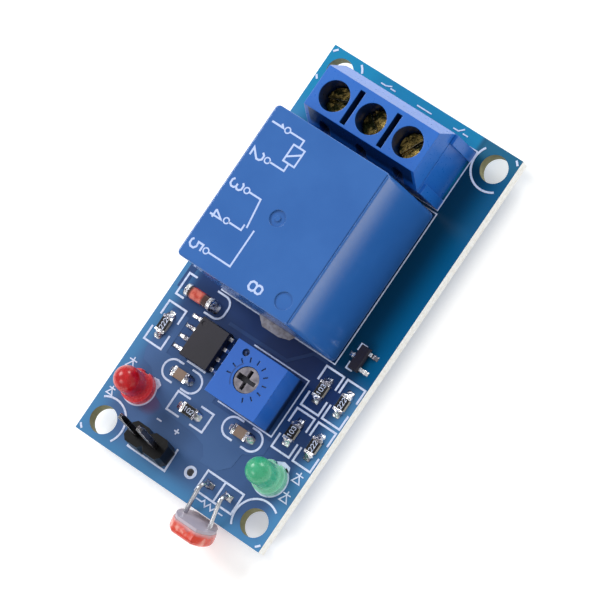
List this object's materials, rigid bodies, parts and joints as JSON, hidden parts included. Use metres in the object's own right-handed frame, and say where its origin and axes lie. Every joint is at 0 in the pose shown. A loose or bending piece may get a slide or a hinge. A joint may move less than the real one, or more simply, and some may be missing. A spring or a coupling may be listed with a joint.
{
  "type": "light sensor relay module",
  "caption": "Circuit board with a relay, screw terminals, trimmer, photocell on bent leads, indicator lamps and a comparator circuit.",
  "frame": {"origin": "centre of the four fixing holes, on the underside of the board", "axes": "+X across the board, away from the comparator side; +Y along the board towards the screw terminals; +Z out of the component side"},
  "size_m": [0.026, 0.0533, 0.0188],
  "materials": {
    "board": "satin solder mask over glass-epoxy laminate",
    "solder": "bright, slightly uneven solder",
    "relay_case": "satin moulded plastic, glossy at the sides",
    "relay_base": "moulded plastic",
    "bobbin": "moulded nylon",
    "winding": "enamelled copper wire",
    "iron": "plated soft iron",
    "spring_brass": "rolled copper alloy",
    "tinned": "bright tin plating",
    "terminal_plastic": "moulded plastic, semi-gloss",
    "clamp_metal": "yellow-passivated zinc plating",
    "cage_metal": "nickel-free brass, dull",
    "trimmer_plastic": "moulded plastic, satin",
    "rotor_plastic": "grey moulded plastic",
    "ceramic": "unglazed ceramic",
    "black_plastic": "black moulded plastic",
    "red_resin": "clear red resin",
    "red_lens": "tinted diffusing epoxy",
    "green_lens": "tinted diffusing epoxy",
    "diode_glass": "orange tinted glass",
    "resistor_body": "black overglaze on ceramic",
    "capacitor_body": "brown fired ceramic"
  },
  "bodies": {
    "board": {"circuit_board": "board", "through_solder": "solder", "surface_solder": "solder", "relay_cover": "relay_case", "relay_base": "relay_base", "relay_bobbin": "bobbin", "relay_winding": "winding", "relay_core": "iron", "relay_yoke": "iron", "relay_open_contact": "spring_brass", "relay_closed_contact": "spring_brass", "relay_coil_pins": "tinned", "relay_common_pin": "tinned", "terminal_housing": "terminal_plastic", "terminal_tongues": "tinned", "trimmer_housing": "trimmer_plastic", "trimmer_element": "ceramic", "trimmer_pins": "tinned", "header_block": "black_plastic", "header_pins": "tinned", "photocell_disc": "ceramic", "photocell_coating": "red_resin", "photocell_leads": "tinned", "red_lamp_lens": "red_lens", "red_lamp_leads": "tinned", "green_lamp_lens": "green_lens", "green_lamp_leads": "tinned", "comparator_case": "black_plastic", "comparator_leads": "tinned", "transistor_case": "black_plastic", "transistor_legs": "tinned", "diode_glass": "diode_glass", "diode_caps": "tinned", "resistor_bodies": "resistor_body", "resistor_ends": "tinned", "capacitor_bodies": "capacitor_body", "capacitor_ends": "tinned"},
    "armature": {"relay_armature": "iron", "relay_moving_contact": "spring_brass"},
    "rotor": {"trimmer_rotor": "rotor_plastic", "trimmer_wiper": "spring_brass"},
    "screw_1": {"terminal_screw_1": "clamp_metal"},
    "cage_1": {"clamp_cage_1": "cage_metal"},
    "screw_2": {"terminal_screw_2": "clamp_metal"},
    "cage_2": {"clamp_cage_2": "cage_metal"},
    "screw_3": {"terminal_screw_3": "clamp_metal"},
    "cage_3": {"clamp_cage_3": "cage_metal"}
  },
  "joints": [
    {"name": "relay_switch", "type": "hinge", "parent": "board", "child": "armature", "pos_m": [0.00028, -0.0013, 0.01276], "axis": [-1, 0, 0], "range_deg": [0, 3.8], "stiffness_Nm_per_rad": 0.002, "springref_deg": -11.46},
    {"name": "trimmer_turn", "type": "hinge", "parent": "board", "child": "rotor", "pos_m": [0.0028, -0.01065, 0.0016], "axis": [0, 0, 1], "range_deg": [-126, 126]},
    {"name": "screw_1_turn", "type": "hinge", "parent": "board", "child": "screw_1", "pos_m": [-0.00491, 0.01935, 0.0016], "axis": [0, 0, -1], "range_deg": [0, 1152]},
    {"name": "cage_1_rise", "type": "slide", "parent": "board", "child": "cage_1", "axis": [0, 0, 1], "range_m": [0, 0.0016]},
    {"name": "screw_2_turn", "type": "hinge", "parent": "board", "child": "screw_2", "pos_m": [0.00009, 0.01935, 0.0016], "axis": [0, 0, -1], "range_deg": [0, 1152]},
    {"name": "cage_2_rise", "type": "slide", "parent": "board", "child": "cage_2", "axis": [0, 0, 1], "range_m": [0, 0.0016]},
    {"name": "screw_3_turn", "type": "hinge", "parent": "board", "child": "screw_3", "pos_m": [0.00509, 0.01935, 0.0016], "axis": [0, 0, -1], "range_deg": [0, 1152]},
    {"name": "cage_3_rise", "type": "slide", "parent": "board", "child": "cage_3", "axis": [0, 0, 1], "range_m": [0, 0.0016]}
  ],
  "couplings": [
    {"joint": "screw_1_turn", "follows": "cage_1_rise", "rad_per_m": 12566},
    {"joint": "screw_2_turn", "follows": "cage_2_rise", "rad_per_m": 12566},
    {"joint": "screw_3_turn", "follows": "cage_3_rise", "rad_per_m": 12566}
  ]
}
